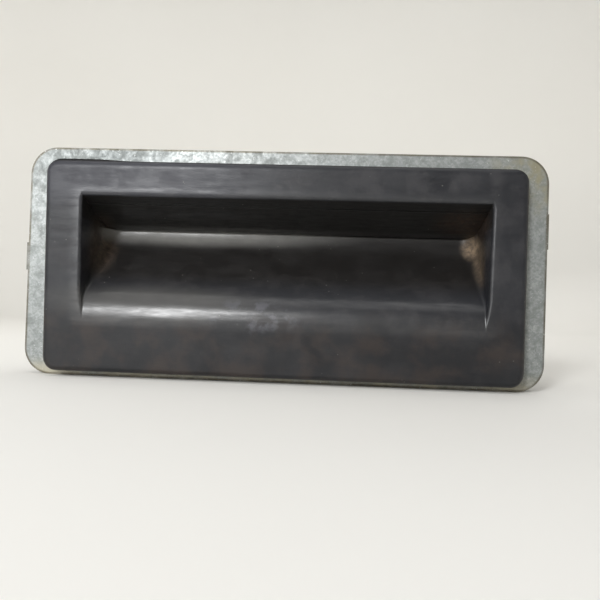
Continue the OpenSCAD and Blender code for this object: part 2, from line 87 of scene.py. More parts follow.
SIDE_X = 48.45 * MM
SIDE_TAPER = 0.017
SIDE_BEND = 0.55 * MM
SIDE_BEND_DEPTH = 3.3 * MM
CUP_SHIFT = 0.5 * MM
SIDE_DRAFT = math.radians(88.6)
EDGE_R = 0.8 * MM
CORNER_SHARE = 0.27
CORNER_MIN = 0.5 * MM
CORNER_MAX = 4.2 * MM
MOUTH_ROUND = 1.4 * MM
LEFT_LEAN = 0.75 * MM
PLATE_CORNER = 6.5 * MM
PLATE_HALF_X = 63 * MM
BULGE_HIGH = 0.35 * MM
BULGE_LOW = -0.2 * MM
BULGE_START = -34 * MM
BULGE_END = -46 * MM
FRAME_X = 50.7 * MM
FRAME_LOW = -15.4 * MM
FRAME_STEP = 0.55 * MM

FLAP_EDGE_Y = BEZEL_BACK
SEAM = 0.16 * MM
PAD_GAP = 0.05 * MM
SPRING_EASE = 0.14 * MM
SIDE_RISE = 2.2 * MM


def lerp(a, b, t):
    return a + (b - a) * t


def bell(v, middle, width):
    return math.exp(-((v - middle) / width) ** 2)


# ---- Cup surface ----


def scoop_circle():
    """Centre and radius of the arc between the tilted back of the floor and the ramp."""
    run_y = CUP_DEPTH - ROLL_R * (1 - math.cos(RAMP_TILT))
    run_z = CREASE_Z - LIP_LOW - ROLL_R * math.sin(RAMP_TILT)
    turn_y = math.cos(BACK_TILT) - math.cos(RAMP_TILT)
    turn_z = math.sin(RAMP_TILT) - math.sin(BACK_TILT)
    c, s = math.cos(RAMP_TILT), math.sin(RAMP_TILT)
    radius = (run_y * c - run_z * s) / (turn_y * c - turn_z * s)
    y = CREASE_Y - radius * math.cos(BACK_TILT)
    z = CREASE_Z + radius * math.sin(BACK_TILT)
    return y, z, radius


def floor_curve():
    """Floor of the cup in the YZ plane as (z, y), from the lower lip up past the crease."""
    y0, z0, radius = scoop_circle()
    roll = np.linspace(math.pi, math.pi - RAMP_TILT, 30)
    scoop = np.linspace(-RAMP_TILT, math.radians(14), 60)
    z = np.concatenate([LIP_LOW + ROLL_R * np.sin(roll), z0 + radius * np.sin(scoop)])
    y = np.concatenate([FACE_Y + ROLL_R + ROLL_R * np.cos(roll), y0 + radius * np.cos(scoop)])
    return z, y


FLOOR_Z, FLOOR_Y = floor_curve()


def floor_y(z):
    return float(np.interp(z, FLOOR_Z, FLOOR_Y, left=FACE_Y))


def upper_z(y):
    """Height of the cup's upper wall at depth y, with its rounded lip."""
    centre_z = WALL_START_Z + LIP_R / math.cos(WALL_ANGLE)
    if y > WALL_START_Y - LIP_R * math.sin(WALL_ANGLE):
        return WALL_START_Z - (y - WALL_START_Y) * WALL_FALL
    return centre_z - math.sqrt(max(0.0, LIP_R ** 2 - (y - WALL_START_Y) ** 2))


def side_x(z, depth):
    """Half width of the cup at its lip: it narrows downwards and bends in where the cup runs out."""
    shallow = max(0.0, 1 - depth / SIDE_BEND_DEPTH)
    return SIDE_X - SIDE_TAPER * (WALL_START_Z - z) - SIDE_BEND * shallow ** 1.5


def cup_point(zone, t, z):
    """Point of the cup's right half at height z. Zones run from the face over the edge to the floor."""
    depth = max(0.0, floor_y(z) - FACE_Y)
    corner = min(CORNER_MAX, max(CORNER_MIN, CORNER_SHARE * depth))
    both = EDGE_R + corner
    turn = SIDE_DRAFT
    if depth < both * (1 - math.cos(SIDE_DRAFT)):
        turn = math.acos(1 - depth / both)
    flat = max(0.0, depth - both * (1 - math.cos(turn))) / max(math.sin(turn), 0.1)
    edge_y = FACE_Y + EDGE_R * (1 - math.cos(turn))
    side = side_x(z, depth)
    if zone == "face":
        return lerp(side + EDGE_R * math.sin(turn), FRAME_X, t), FACE_Y
    if zone == "edge":
        a = turn * t
        return side + EDGE_R * (math.sin(turn) - math.sin(a)), FACE_Y + EDGE_R * (1 - math.cos(a))
    if zone == "wall":
        return side - flat * math.cos(turn) * t, edge_y + flat * math.sin(turn) * t
    foot_x = side - flat * math.cos(turn)
    foot_y = edge_y + flat * math.sin(turn)
    if zone == "corner":
        a = turn * (1 - t)
        x = foot_x - corner * (math.sin(turn) - math.sin(a))
        return x, foot_y + corner * (math.cos(a) - math.cos(turn))
    return (foot_x - corner * math.sin(turn)) * (1 - t), FACE_Y + depth


def cup_columns():
    """(zone, t) of each column from the cup's middle out to the frame round it."""
    columns = [("floor", 1 - i / 30) for i in range(30)]
    columns += [("corner", 1 - i / 8) for i in range(8)]
    columns += [("wall", t) for t in (1.0, 0.85, 0.68, 0.5, 0.331, 0.16)]
    columns += [("edge", 1 - i / 7) for i in range(7)]
    columns += [("face", t) for t in (0.0, 0.12, 0.5, 1.0)]
    return columns


def mouth_shift(x, z):
    """Rounds the upper corners of the opening."""
    top = WALL_START_Z + LIP_R / math.cos(WALL_ANGLE)
    low = top - MOUTH_ROUND
    if z <= low or x >= FRAME_X:
        return x
    drop = MOUTH_ROUND - math.sqrt(max(0.0, MOUTH_ROUND ** 2 - min(z - low, MOUTH_ROUND) ** 2))
    inside = min(1.0, max(0.0, (x - 40 * MM) / (8 * MM)))
    outside = min(1.0, max(0.0, (FRAME_X - x) / (1.3 * MM)))
    return x - drop * inside * outside


class Patch:
    """Collects faces by their corner points, and joins points that meet."""

    def __init__(self):
        self.bm = bmesh.new()
        self.found = {}

    def vertex(self, p):
        key = tuple(round(c / (0.002 * MM)) for c in p)
        if key not in self.found:
            self.found[key] = self.bm.verts.new(p)
        return self.found[key]

    def face(self, *points):
        corners = []
        for p in points:
            v = self.vertex(p)
            if v not in corners:
                corners.append(v)
        if len(corners) < 3:
            return
        if self.bm.faces.get(corners) is None:
            self.bm.faces.new(corners)

    def done(self, name, towards=Vector((0, -1, 0))):
        bmesh.ops.recalc_face_normals(self.bm, faces=self.bm.faces)
        facing = sum((f.normal.dot(towards) * f.calc_area() for f in self.bm.faces), 0.0)
        if facing < 0:
            bmesh.ops.reverse_faces(self.bm, faces=self.bm.faces)
        mesh = bpy.data.meshes.new(name)
        self.bm.to_mesh(mesh)
        self.bm.free()
        mesh.shade_smooth()
        made = bpy.data.objects.new(name, mesh)
        bpy.context.scene.collection.objects.link(made)
        return made


def cup_rows():
    """Heights of the floor's rows, closer together where the floor bends."""
    step = np.concatenate([[0], np.cumsum(np.hypot(np.diff(FLOOR_Z), np.diff(FLOOR_Y)))])
    last = np.interp(7.4 * MM, FLOOR_Z, step)
    inner = np.interp(np.linspace(0, last, 46), step, FLOOR_Z)
    return [FRAME_LOW, (FRAME_LOW + LIP_LOW) / 2, *inner]


def column_points(zone, t, rows):
    """One column from the bottom of the patch to its top, and the row where the flap's window begins."""
    points = []
    for z in rows:
        x, y = cup_point(zone, t, z)
        points.append((x, y, z))
    trim = CREASE_Z
    for _ in range(12):
        x, y = cup_point(zone, t, max(trim, rows[-1]))
        trim = upper_z(y) - SEAM
    for k in range(1, 6):
        z = lerp(rows[-1], trim, k / 5)
        x, y = cup_point(zone, t, z)
        points.append((mouth_shift(x, z), y, z))
    window = len(points) - 1
    arc = [WALL_START_Y - LIP_R * math.sin(a) for a in np.linspace(WALL_ANGLE, math.pi / 2, 7)]
    levels = [FLAP_EDGE_Y, *np.linspace(FLAP_EDGE_Y, arc[0], 5)[1:], *arc[1:]]
    for level in levels:
        y_here = min(y, level)
        z = upper_z(y_here)
        points.append((mouth_shift(x, z), y_here, z))
    top = points[-1][2]
    for k in (1, 2):
        points.append((mouth_shift(x, top + k * FRAME_STEP), FACE_Y, top + k * FRAME_STEP))
    return points, window


def outline_point(s, half, r):
    """Point and normal on one straight side of a rounded rectangle and half of each corner beside it."""
    if abs(s) <= 1:
        return Vector((s * (half - r), 0)), Vector((0, 1))
    a = math.radians(45) * (abs(s) - 1)
    side = math.copysign(1, s)
    return Vector((side * (half - r + r * math.sin(a)), -r * (1 - math.cos(a)))), Vector(
        (side * math.sin(a), math.cos(a)))


def side_marks(values):
    """Marks from -2 to 2 for points along one side: inside +-1 on the straight, beyond it round the corners."""
    middle, reach = (values[0] + values[-1]) / 2, (values[-1] - values[0]) / 2
    share = [(v - middle) / reach for v in values]
    straight = 0.93
    before = sum(s < -straight for s in share)
    beyond = sum(s > straight for s in share)
    marks = []
    for i, s in enumerate(share):
        if s < -straight:
            marks.append(-2 + i / before)
        elif s > straight:
            marks.append(1 + (i - (len(share) - beyond) + 1) / beyond)
        else:
            marks.append(s / straight)
    return [m * math.copysign(1, reach) for m in marks]


def bezel_outline(perimeter):
    """For each side of the cup patch, the matching points and normals on the bezel's outline."""
    z_mid = (skin_lo.z + skin_hi.z) / 2
    half_x, half_z = skin_hi.x, (skin_hi.z - skin_lo.z) / 2
    r = BEZEL_CORNER
    pairs = []
    for side, points in perimeter.items():
        along = 0 if side in ("bottom", "top") else 2
        marks = side_marks([p[along] for p in points])
        half = half_x if along == 0 else half_z
        for p, s in zip(points, marks):
            q, n = outline_point(s, half, r)
            if side == "top":
                place, normal = (q.x, half_z + q.y), (n.x, n.y)
            elif side == "bottom":
                place, normal = (q.x, -half_z - q.y), (n.x, -n.y)
            elif side == "right":
                place, normal = (half_x + q.y, q.x), (n.y, n.x)
            else:
                place, normal = (-half_x - q.y, q.x), (-n.y, n.x)
            lean = LEFT_LEAN * min(1.0, max(0.0, -place[0] / half_x)) * lerp(0.5, 0.0, place[1] / half_z)
            place = (place[0] + lean, place[1])
            pairs.append((p, Vector((place[0], place[1] + z_mid)), Vector(normal)))
    return pairs


def bulge_height(x):
    """How far the bezel's back edge stands up along its top: proud on the left, low on the right."""
    share = min(1.0, max(0.0, (x - BULGE_END) / (BULGE_START - BULGE_END)))
    return lerp(BULGE_HIGH, BULGE_LOW, share * share * (3 - 2 * share))


def bezel_ring(p, base, normal):
    """Points from the cup patch's edge over the bezel's rounded edge to its back."""
    up = ROUND_TOP if normal.y > 0 else ROUND_BOTTOM
    r = ROUND_SIDE * normal.x ** 2 + up * normal.y ** 2

    bulge = max(0.0, normal.y) * bulge_height(base.x)

    def at(inset, y):
        q = base - normal * inset
        back = min(1.0, max(0.0, (y - FACE_Y) / r)) ** 2
        return (q.x, y, q.y + bulge * back)

    edge = at(r + 0.25 * MM, FACE_Y)
    line = [p, tuple(lerp(p[k], edge[k], 0.5) for k in range(3)), edge]
    for a in np.linspace(0, math.pi / 2, 8):
        line.append(at(r * (1 - math.sin(a)), FACE_Y + r * (1 - math.cos(a))))
    line.append(at(0, BEZEL_BACK - 0.35 * MM))
    line.append(at(0.1 * MM, BEZEL_BACK - 0.1 * MM))
    line.append(at(0.5 * MM, BEZEL_BACK))
    return line


def shifted(p):
    """Moves the cup a little to the right of the bezel's middle, as it sits in the frame."""
    x, y, z = p
    share = min(1.0, max(0.0, (FRAME_X - abs(x)) / (FRAME_X - SIDE_X - EDGE_R)))
    return x + CUP_SHIFT * share, y, z


def build_skin():
    """Rubber skin: bezel, cup floor, side walls and fixed lip, open where the flap works."""
    rows = cup_rows()
    half = [column_points(zone, t, rows) for zone, t in cup_columns()]
    window = half[0][1]
    right = [points for points, _ in half]
    left = [[(-x, y, z) for x, y, z in points] for points in reversed(right[1:])]
    grid = [[shifted(p) for p in column] for column in left + right]
    patch = Patch()
    last = len(grid[0]) - 1
    edge = FLAP_EDGE_Y - 0.05 * MM
    rise = Vector((0, 0, SIDE_RISE))
    for a, b in zip(grid, grid[1:]):
        for k in range(last):
            behind = min(a[window][1], b[window][1]) >= edge
            if k != window or not behind:
                patch.face(a[k], b[k], b[k + 1], a[k + 1])
        beside = min(abs(a[window][0]), abs(b[window][0])) > SIDE_X - CUP_SHIFT - 0.4 * MM
        if behind and beside:
            top_a, top_b = Vector(a[window]) + rise, Vector(b[window]) + rise
            patch.face(a[window], b[window], tuple(top_b), tuple(top_a))
    perimeter = {
        "bottom": [column[0] for column in grid],
        "right": grid[-1],
        "top": [column[-1] for column in reversed(grid)],
        "left": list(reversed(grid[0])),
    }
    lines = [bezel_ring(*pair) for pair in bezel_outline(perimeter)]
    for a, b in zip(lines, lines[1:] + lines[:1]):
        for k in range(len(a) - 1):
            patch.face(a[k], b[k], b[k + 1], a[k + 1])
    skin = patch.done("rubber_moulding")
    shell = skin.modifiers.new("Thickness", "SOLIDIFY")
    shell.thickness = SKIN_THICK
    shell.offset = -1
    return skin


def build_press_pad():
    """Soft pad on the flap's underside: the upper wall of the cup, a little full in the middle."""
    thick = 1.2 * MM
    up = Vector((0, math.sin(WALL_ANGLE), math.cos(WALL_ANGLE)))
    y0, y1 = FLAP_EDGE_Y + PAD_GAP, pad_hi.y
    half = SIDE_X - PAD_GAP
    across, deep = 48, 10
    patch = Patch()

    def at(i, j, top):
        u, v = i / across * 2 - 1, j / deep
        y = lerp(y0, y1, v)
        z = WALL_START_Z - (y - WALL_START_Y) * WALL_FALL
        draft = (y - FACE_Y) / math.tan(SIDE_DRAFT)
        p = Vector((CUP_SHIFT + u * (half - draft), y, z))
        fullness = 0.1 * MM * (1 - u ** 8) * math.sin(math.pi * v)
        return tuple(p + up * thick if top else p - up * fullness)

    for i in range(across):
        for j in range(deep):
            for top in (False, True):
                patch.face(at(i, j, top), at(i + 1, j, top), at(i + 1, j + 1, top), at(i, j + 1, top))
    for i in range(across):
        for j in (0, deep):
            patch.face(at(i, j, False), at(i + 1, j, False), at(i + 1, j, True), at(i, j, True))
    for j in range(deep):
        for i in (0, across):
            patch.face(at(i, j, False), at(i, j + 1, False), at(i, j + 1, True), at(i, j, True))
    pad = patch.done("press_pad", Vector((0, 0, 1)))
    bmesh_normals_out(pad)
    soften(pad, 0.12 * MM, 2)
    return pad


def bmesh_normals_out(made):
    bm = bmesh.new()
    bm.from_mesh(made.data)
    bmesh.ops.recalc_face_normals(bm, faces=bm.faces)
    bm.to_mesh(made.data)
    bm.free()


def soften(made, width, segments=2, weld=False):
    """Rounds the sharp edges of a piece with modifiers and gives it smooth shading."""
    if weld:
        join = made.modifiers.new("Weld", "WELD")
        join.merge_threshold = 0.003 * MM
    bevel = made.modifiers.new("Bevel", "BEVEL")
    bevel.width = width
    bevel.segments = segments
    bevel.limit_method = "ANGLE"
    bevel.angle_limit = math.radians(38)
    bevel.miter_outer = "MITER_ARC"
    made.data.shade_smooth()
    shade = made.modifiers.new("Normals", "WEIGHTED_NORMAL")
    shade.weight = 60
    shade.keep_sharp = False


# ---- Turned and swept pieces ----


def turned(patch, x, z, profile, sides, bump=None):
    """Adds a piece turned about an axis along Y. profile is a list of (radius, y)."""

    def at(ring, k):
        r, y = ring
        a = 2 * math.pi * k / sides
        if bump:
            r, y = bump(r, y, a)
        return (x + r * math.cos(a), y, z + r * math.sin(a))

    for a, b in zip(profile, profile[1:]):
        for k in range(sides):
            patch.face(at(a, k), at(a, k + 1), at(b, k + 1), at(b, k))


def build_studs():
    """Threaded weld studs with a plain collar at the plate and a chamfered end."""
    made = []
    r, pitch, depth = (stud_hi.x - stud_lo.x) / 2, 0.8 * MM, 0.42 * MM
    dx, dz = 57 * MM, 21.5 * MM
    r = 2.5 * MM
    collar, end = 1.6 * MM, stud_hi.y
    for name, x, z in (("a", -dx, -dz), ("b", dx, -dz), ("c", -dx, dz), ("d", dx, dz)):

        def thread(radius, y, a):
            if radius < r * 0.9 or y <= collar:
                return radius, y
            phase = (y / pitch + a / (2 * math.pi)) % 1.0
            cut = depth * min(1.0, 2.2 * abs(phase - 0.5)) * min(1.0, (y - collar) / pitch)
            taper = max(0.0, (y - (end - 0.7 * MM)))
            return min(r - depth + cut, r - taper * 0.9), y

        levels = np.linspace(collar, end, int((end - collar) / pitch * 9))
        profile = [(0.0005 * MM, 0), (r, 0), (r, 0.4 * MM), (r, collar)]
        profile += [(r, y) for y in levels[1:]]
        profile += [(r * 0.6, end), (0.0005 * MM, end)]
        patch = Patch()
        turned(patch, x, z, profile, 40, thread)
        stud = patch.done("weld_stud_" + name)
        bmesh_normals_out(stud)
        stud.data.shade_smooth()
        made.append(stud)
    return made


def screw(name, x, z, seat, length, shank_r, head, head_t, facing):
    """Pan-head screw with a six-lobe recess. Its head faces +Y for facing 1 and -Y for -1."""

    def lobes(radius, y, a):
        inner = abs(y - seat) > head_t * 0.3 and radius < head * 0.62
        return (radius * (1 + 0.13 * math.cos(6 * a)) if inner else radius), y

    depth = [(0.02, 0.45), (0.4, 0.45), (0.46, 0.48), (0.48, 0.97), (0.52, 1.0)]
    dome = [(0.66, 0.97), (0.8, 0.87), (0.92, 0.68), (0.98, 0.45), (1.0, 0.2), (0.99, 0.05), (0.96, 0.0)]
    profile = [(head * a, seat + facing * head_t * b) for a, b in depth + dome]
    profile += [(shank_r, seat), (shank_r, seat - facing * (length - 0.6 * MM))]
    profile += [(shank_r * 0.5, seat - facing * length), (0.0005 * MM, seat - facing * length)]
    patch = Patch()
    turned(patch, x, z, profile, 48, lobes)
    made = patch.done(name)
    bmesh_normals_out(made)
    sharpen(made)
    return made


def sharpen(made, angle=35):
    """Keeps edges sharper than the angle crisp, and shades the rest smooth."""
    bm = bmesh.new()
    bm.from_mesh(made.data)
    for e in bm.edges:
        if len(e.link_faces) == 2 and e.calc_face_angle(0) > math.radians(angle):
            e.smooth = False
    bm.to_mesh(made.data)
    bm.free()


def build_rivets():
    """Domed rivet heads that hold the shell's lower flange."""
    lo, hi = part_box("shell_rivets")
    made = []
    shank, head = 1.6 * MM, 3.0 * MM
    z = (lo.z + hi.z) / 2
    for name, x in (("a", -45 * MM), ("b", -15 * MM), ("c", 15 * MM), ("d", 45 * MM)):
        rim = 0.35 * MM
        dome = [(head * math.cos(a), rim + (hi.y - rim) * math.sin(a)) for a in np.linspace(0, math.pi / 2, 9)[:-1]]
        profile = [(0.0005 * MM, lo.y), (shank, lo.y), (shank, 0.0), (head * 0.97, 0.0), (head, 0.12 * MM)]
        profile += dome + [(head * 0.3, hi.y - 0.02 * MM), (head * 0.22, hi.y - 0.16 * MM), (0.0005 * MM, hi.y - 0.18 * MM)]
        patch = Patch()
        turned(patch, x, z, profile, 36)
        rivet = patch.done("shell_rivet_" + name)
        bmesh_normals_out(rivet)
        sharpen(rivet)
        made.append(rivet)
    return made


def build_screws():
    """Cover screws and connector screws, seated where the CAD has them."""
    made = {"cover_screws": [], "connector_screws": []}
    cover_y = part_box("rear_cover")[1].y
    for i, (x, z) in enumerate(((-26, 19.9), (26, 19.9), (-36, 6.4), (36, 6.4))):
        made["cover_screws"].append(
            screw("cover_screw_%d" % i, x * MM, z * MM, cover_y, 6 * MM, 1.15 * MM, 2.4 * MM, 1.6 * MM, 1))
    lo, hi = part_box("connector_screws")
    seat = hi.y - 1 * MM
    for i, side in enumerate((-1, 1)):
        made["connector_screws"].append(
            screw("connector_screw_%d" % i, (8 + side * 8.4) * MM, (12 - side * 5.4) * MM, seat,
                seat - lo.y, 0.95 * MM, 1.5 * MM, 1 * MM, 1))
    return made


def build_springs():
    """Flap return springs: closed and ground end coils, open ones between."""
    lo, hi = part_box("flap_springs")
    wire, turns, per_turn, sides = 0.3 * MM, 6.0, 28, 10
    radius = (hi.y - lo.y) / 2 - wire + SPRING_EASE
    middle_y = (lo.y + hi.y) / 2
    made = []
    for name, x in (("left", lo.x + radius + wire - SPRING_EASE), ("right", hi.x - radius - wire + SPRING_EASE)):
        patch = Patch()
        rings = []
        total = int(turns * per_turn)
        for i in range(total + 1):
            t = i / total
            dead = 0.85 / turns
            rise = min(1.0, max(0.0, (t - dead) / (1 - 2 * dead)))
            slack = wire * 1.6 * (min(t, dead) + max(0.0, t - 1 + dead)) / dead
            z = lo.z + wire + slack + (hi.z - lo.z - 2 * wire - 3.2 * wire) * rise
            a = 2 * math.pi * turns * t
            out = Vector((math.cos(a), math.sin(a), 0))
            ring = []
            for k in range(sides):
                b = 2 * math.pi * k / sides
                q = Vector((x, middle_y, z)) + out * (radius + wire * math.cos(b)) + Vector((0, 0, wire * math.sin(b)))
                ring.append((q.x, q.y, min(hi.z, max(lo.z, q.z))))
            rings.append(ring)
        for a, b in zip(rings, rings[1:]):
            for k in range(sides):
                m = (k + 1) % sides
                patch.face(a[k], b[k], b[m], a[m])
        patch.face(*rings[0])
        patch.face(*rings[-1])
        spring = patch.done("flap_spring_" + name)
        bmesh_normals_out(spring)
        sharpen(spring, 60)
        made.append((spring, (x, middle_y, hi.z)))
    return made


def ring_outline(half_x, half_z, r, count):
    """Points and normals round a rounded rectangle in the XZ plane."""
    made = []
    for cx, cz, start in ((1, 1, 0), (-1, 1, 90), (-1, -1, 180), (1, -1, 270)):
        for k in range(count + 1):
            a = math.radians(start + 90 * k / count)
            n = Vector((math.cos(a), 0, math.sin(a)))
            made.append((Vector((cx * (half_x - r), 0, cz * (half_z - r))) + n * r, n))
    return made


def dense_ring(ring, step):
    """The same ring with points at most step apart."""
    made = []
    for (p, n), (q, m) in zip(ring, ring[1:] + ring[:1]):
        cuts = max(1, int((q - p).length / step))
        for k in range(cuts):
            made.append((p.lerp(q, k / cuts), n.lerp(m, k / cuts).normalized()))
    return made


def build_foam():
    """Closed-cell foam gasket: a soft ring with rounded shoulders and a slightly wavy edge."""
    half_x, half_z = foam_hi.x, foam_hi.z
    width, tall, r = 1.7 * MM, foam_hi.y, 0.45 * MM
    middle = dense_ring(ring_outline(half_x - width / 2, half_z - width / 2, 5.15 * MM, 10), 2 * MM)
    section = []
    for cx, cy, start in ((1, 1, 0), (-1, 1, 90)):
        for k in range(5):
            a = math.radians(start + 22.5 * k)
            section.append((cx * (width / 2 - r) + r * math.cos(a), cy * (tall - r) + r * math.sin(a)))
    section += [(-width / 2, 0.02 * MM), (width / 2, 0.02 * MM)]
    patch = Patch()
    total = len(middle)
    lines = []
    for i, (p, n) in enumerate(middle):
        wave = 0.05 * MM * (math.sin(i * 0.9) + math.sin(i * 0.37 + 1.3)) - 0.1 * MM
        line = []
        for across, up in section:
            keep = across + (wave if across > 0 else -wave) * (up / tall)
            q = p + n * keep
            line.append((q.x, up, q.z))
        lines.append(line)
    for i in range(total):
        a, b = lines[i], lines[(i + 1) % total]
        for k in range(len(section)):
            m = (k + 1) % len(section)
            patch.face(a[k], b[k], b[m], a[m])
    foam = patch.done("foam_gasket")
    bmesh_normals_out(foam)
    sharpen(foam, 60)
    return foam


# ---- Materials ----


class Look:
    """A node material being written: short calls that add a node and return its output."""

    def __init__(self, name, **sockets):
        self.material = bpy.data.materials.new(name)
        self.material.use_nodes = True
        self.tree = self.material.node_tree
        self.shader = next(n for n in self.tree.nodes if n.type == "BSDF_PRINCIPLED")
        for key, value in sockets.items():
            self.shader.inputs[key.replace("_", " ")].default_value = value
        self.place = self.tree.nodes.new("ShaderNodeTexCoord").outputs["Object"]

    def add(self, kind, output, settings=None, **sockets):
        n = self.tree.nodes.new("ShaderNode" + kind)
        for key, value in (settings or {}).items():
            setattr(n, key, value)
        for key, value in sockets.items():
            socket = n.inputs[int(key[1:])] if key[0] == "i" and key[1:].isdigit() else n.inputs[key]
            if isinstance(value, bpy.types.NodeSocket):
                self.tree.links.new(value, socket)
            else:
                socket.default_value = value
        return n.outputs[output]

    def noise(self, size, detail=3.0, rough=0.55, place=None, stretch=None):
        """Noise with features about size metres across."""
        at = self.stretched(stretch) if stretch else (place or self.place)
        return self.add("TexNoise", "Fac", Vector=at, Scale=1 / size, Detail=detail, Roughness=rough)

    def cells(self, size, output="Color", feature="F1", place=None):
        at = place or self.place
        return self.add("TexVoronoi", output, {"feature": feature}, Vector=at, Scale=1 / size)

    def stretched(self, scale):
        return self.add("Mapping", "Vector", Vector=self.place, Scale=scale)

    def axis(self, name):
        return self.add("SeparateXYZ", name, Vector=self.place)

    def ramp(self, value, low, high, out_low=0.0, out_high=1.0):
        n = {"From Min": low, "From Max": high, "To Min": out_low, "To Max": out_high, "Value": value}
        return self.add("MapRange", "Result", {"interpolation_type": "SMOOTHSTEP"}, **n)

    def math(self, operation, a, b=0.0):
        return self.add("Math", "Value", {"operation": operation}, i0=a, i1=b)

    def mix(self, factor, a, b):
        settings = {"data_type": "RGBA"}
        return self.add("Mix", 2, settings, i0=factor, i6=a, i7=b)

    def near(self, centre, reach):
        """1 at centre and 0 further off than reach, both in metres, along each axis."""
        shift = self.add("VectorMath", "Vector", {"operation": "SUBTRACT"}, i0=self.place, i1=centre)
        scale = self.add("VectorMath", "Vector", {"operation": "DIVIDE"}, i0=shift, i1=reach)
        far = self.add("VectorMath", "Value", {"operation": "LENGTH"}, i0=scale)
        return self.ramp(far, 1.0, 0.25)

    def outline_distance(self, half_x, half_z):
        """Distance in metres outside the rectangle of those half sizes about the origin."""
        out = []
        for name, half in (("X", half_x), ("Z", half_z)):
            beyond = self.math("SUBTRACT", self.math("ABSOLUTE", self.axis(name)), half)
            out.append(self.math("MAXIMUM", beyond, 0.0))
        squares = self.math("ADD", self.math("MULTIPLY", out[0], out[0]), self.math("MULTIPLY", out[1], out[1]))
        return self.math("SQRT", squares)

    def bump(self, height, strength, distance, under=None):
        sockets = {"Height": height, "Strength": strength, "Distance": distance}
        if under is not None:
            sockets["Normal"] = under
        return self.add("Bump", "Normal", **sockets)

    def set(self, **outputs):
        for key, value in outputs.items():
            self.tree.links.new(value, self.shader.inputs[key.replace("_", " ")])
        return self.material


def rgb(r, g, b):
    return (r, g, b, 1.0)


